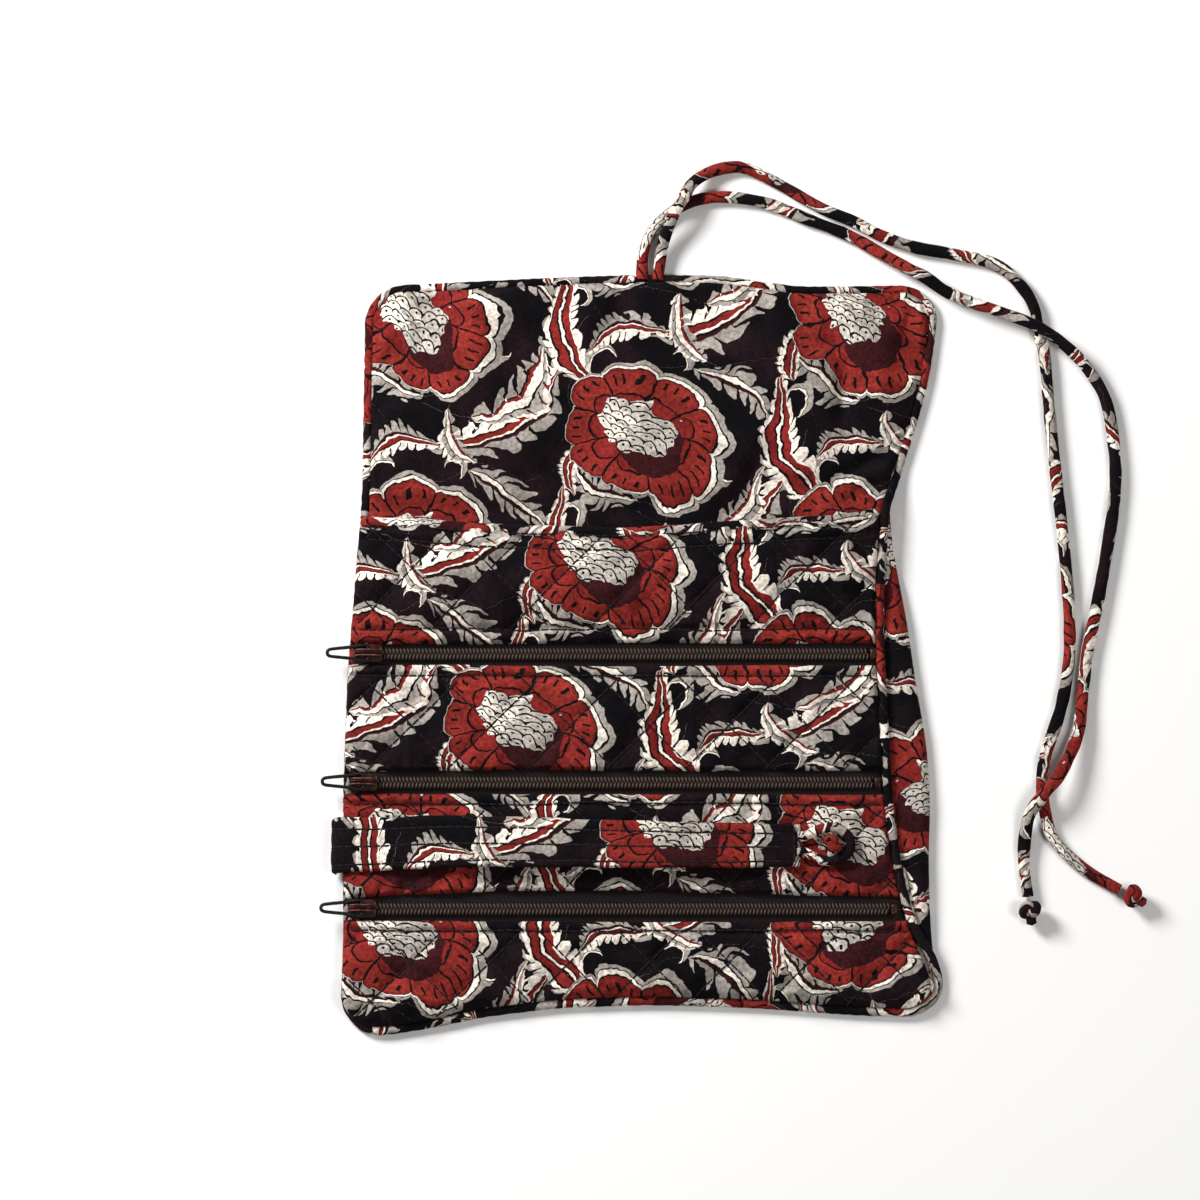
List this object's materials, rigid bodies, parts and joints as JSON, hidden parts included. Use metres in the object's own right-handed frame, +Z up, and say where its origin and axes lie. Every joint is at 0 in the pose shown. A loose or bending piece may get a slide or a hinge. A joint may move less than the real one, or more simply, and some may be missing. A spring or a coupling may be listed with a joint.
{
  "type": "jewelry roll",
  "caption": "Quilted cotton jewelry roll, opened flat, with a slip pocket, zipped pockets, a ring strap that hooks on a knotted button, and knotted ties to close it.",
  "frame": {"origin": "on the underside of the cover, under the middle of the open roll", "axes": "+X across the roll away from the zip sliders, +Y towards the tied edge, +Z up out of the open face"},
  "size_m": [0.2718, 0.2941, 0.0136],
  "materials": {
    "printed_cotton": "matte block-printed quilting cotton, near-black ground",
    "printed_lining": "matte block-printed cotton, brick-red flowers on near-black",
    "pocket_cotton": "matte block-printed cotton, brick-red flowers on near-black",
    "cotton_batting": "needled cotton wadding",
    "zip_tape": "woven polyester tape, dark brown",
    "nylon_coil": "brown nylon coil, satin",
    "lacquered_zinc": "dark red-brown lacquered zinc, glossy",
    "black_wire": "black lacquered wire"
  },
  "bodies": {
    "flap": {"flap_cover": "printed_cotton", "flap_batting": "cotton_batting", "flap_lining": "printed_lining", "flap_piping": "printed_cotton", "tie_left": "printed_cotton", "tie_left_knot": "printed_cotton", "tie_right": "printed_cotton", "tie_right_knot": "printed_cotton"},
    "upper_panel": {"upper_cover": "printed_cotton", "upper_batting": "cotton_batting", "upper_lining": "printed_lining", "upper_piping_left": "printed_cotton", "upper_piping_right": "printed_cotton", "slip_pocket_panel": "pocket_cotton", "slip_pocket_binding": "printed_cotton", "zip_1_tape_upper": "zip_tape", "zip_1_tape_lower": "zip_tape", "zip_1_chain": "nylon_coil", "zip_1_stop": "lacquered_zinc", "zip_1_facing": "pocket_cotton"},
    "middle_panel": {"middle_cover": "printed_cotton", "middle_batting": "cotton_batting", "middle_lining": "printed_lining", "middle_piping_left": "printed_cotton", "middle_piping_right": "printed_cotton", "middle_pocket_panel": "pocket_cotton", "zip_2_tape_upper": "zip_tape", "zip_2_tape_lower": "zip_tape", "zip_2_chain": "nylon_coil", "zip_2_stop": "lacquered_zinc", "zip_2_facing": "pocket_cotton"},
    "ring_panel": {"ring_cover": "printed_cotton", "ring_batting": "cotton_batting", "ring_lining": "printed_lining", "ring_piping_left": "printed_cotton", "ring_piping_right": "printed_cotton", "ring_pocket_panel": "pocket_cotton", "zip_3_tape_upper": "zip_tape", "zip_3_tape_lower": "zip_tape", "zip_3_chain": "nylon_coil", "zip_3_stop": "lacquered_zinc", "zip_3_facing": "pocket_cotton", "ring_strap_anchor": "printed_cotton", "knot_button": "printed_cotton"},
    "lower_panel": {"lower_cover": "printed_cotton", "lower_batting": "cotton_batting", "lower_lining": "printed_lining", "lower_piping": "printed_cotton", "lower_pocket_panel": "pocket_cotton"},
    "ring_strap": {"ring_strap": "printed_cotton", "ring_strap_loop": "printed_cotton"},
    "zip_1_slider": {"zip_1_slider": "lacquered_zinc"},
    "zip_1_pull": {"zip_1_pull": "black_wire"},
    "zip_2_slider": {"zip_2_slider": "lacquered_zinc"},
    "zip_2_pull": {"zip_2_pull": "black_wire"},
    "zip_3_slider": {"zip_3_slider": "lacquered_zinc"},
    "zip_3_pull": {"zip_3_pull": "black_wire"}
  },
  "joints": [
    {"name": "crease_fold", "type": "hinge", "parent": "flap", "child": "upper_panel", "pos_m": [0, 0.054, 0.007], "axis": [-1, 0, 0], "range_deg": [0, 90]},
    {"name": "zip_1_fold", "type": "hinge", "parent": "upper_panel", "child": "middle_panel", "pos_m": [0, -0.007, 0.007], "axis": [-1, 0, 0], "range_deg": [0, 90]},
    {"name": "zip_2_fold", "type": "hinge", "parent": "middle_panel", "child": "ring_panel", "pos_m": [0, -0.05, 0.007], "axis": [-1, 0, 0], "range_deg": [0, 85]},
    {"name": "zip_3_fold", "type": "hinge", "parent": "ring_panel", "child": "lower_panel", "pos_m": [0, -0.092, 0.007], "axis": [-1, 0, 0], "range_deg": [0, 90]},
    {"name": "ring_strap_lift", "type": "hinge", "parent": "ring_panel", "child": "ring_strap", "pos_m": [-0.08535, -0.064, 0.0089], "axis": [0, 1, 0], "range_deg": [-110, 0]},
    {"name": "zip_1_slide", "type": "slide", "parent": "upper_panel", "child": "zip_1_slider", "axis": [1, 0, 0], "range_m": [0, 0.158]},
    {"name": "zip_1_pull_flip", "type": "hinge", "parent": "zip_1_slider", "child": "zip_1_pull", "pos_m": [-0.09008, 0, 0.00775], "axis": [0, 1, 0], "range_deg": [0, 150]},
    {"name": "zip_2_slide", "type": "slide", "parent": "middle_panel", "child": "zip_2_slider", "axis": [1, 0, 0], "range_m": [0, 0.16]},
    {"name": "zip_2_pull_flip", "type": "hinge", "parent": "zip_2_slider", "child": "zip_2_pull", "pos_m": [-0.09144, -0.043, 0.00775], "axis": [0, 1, 0], "range_deg": [0, 150]},
    {"name": "zip_3_slide", "type": "slide", "parent": "ring_panel", "child": "zip_3_slider", "axis": [1, 0, 0], "range_m": [0, 0.166]},
    {"name": "zip_3_pull_flip", "type": "hinge", "parent": "zip_3_slider", "child": "zip_3_pull", "pos_m": [-0.0916, -0.085, 0.00775], "axis": [0, 1, 0], "range_deg": [0, 150]}
  ]
}
